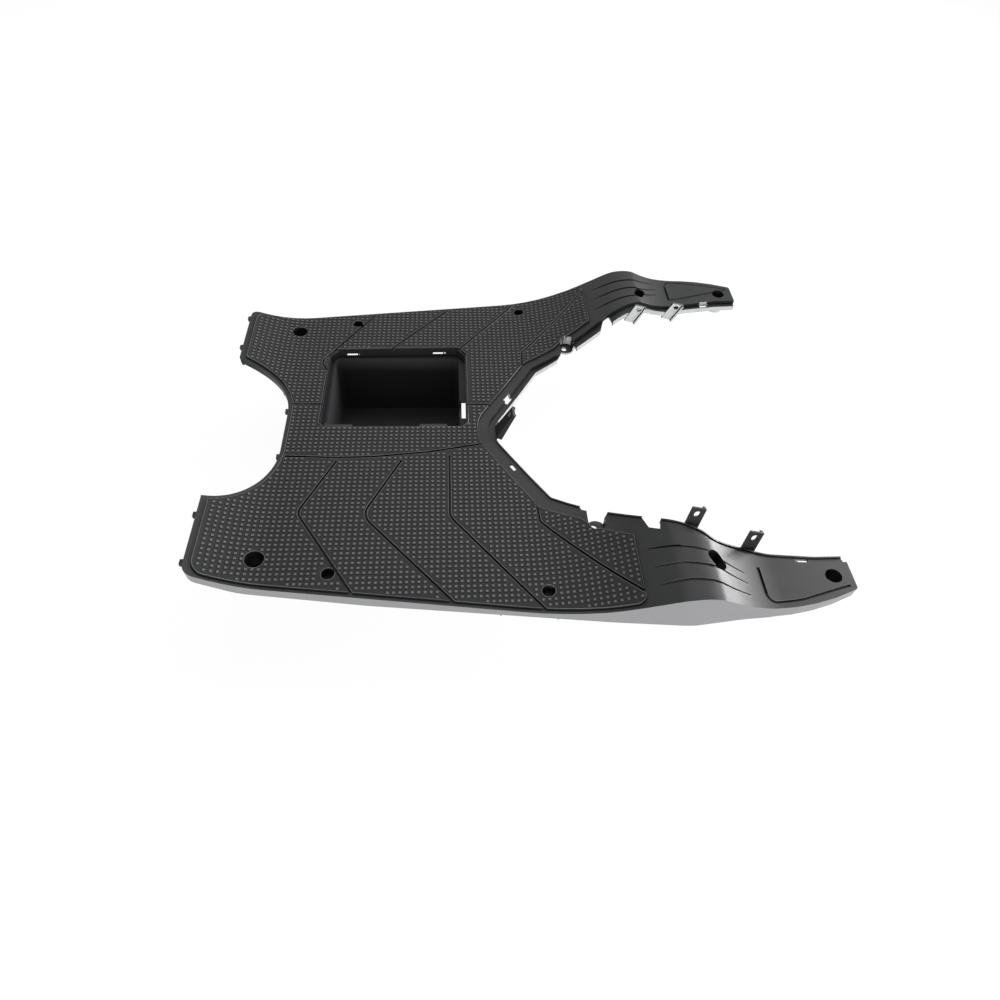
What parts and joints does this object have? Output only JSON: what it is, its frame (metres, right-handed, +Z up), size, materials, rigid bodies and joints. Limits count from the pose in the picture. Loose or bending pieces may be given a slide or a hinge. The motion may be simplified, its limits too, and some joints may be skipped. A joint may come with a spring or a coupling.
{
  "type": "scooter floorboard",
  "caption": "Black moulded scooter floorboard with treaded foot pads, a battery well, a skirt and two arms that rise over a hump to the rear.",
  "frame": {"origin": "midway between the two front bolt holes, level with the tops of the tread pads", "axes": "+X towards the rear of the scooter, +Y to the rider's right, +Z up"},
  "size_m": [0.644, 0.5188, 0.1598],
  "materials": {
    "moulding": "moulded black plastic, satin, with a grained tread"
  },
  "bodies": {
    "root": {"floorboard": "moulding"}
  },
  "joints": []
}
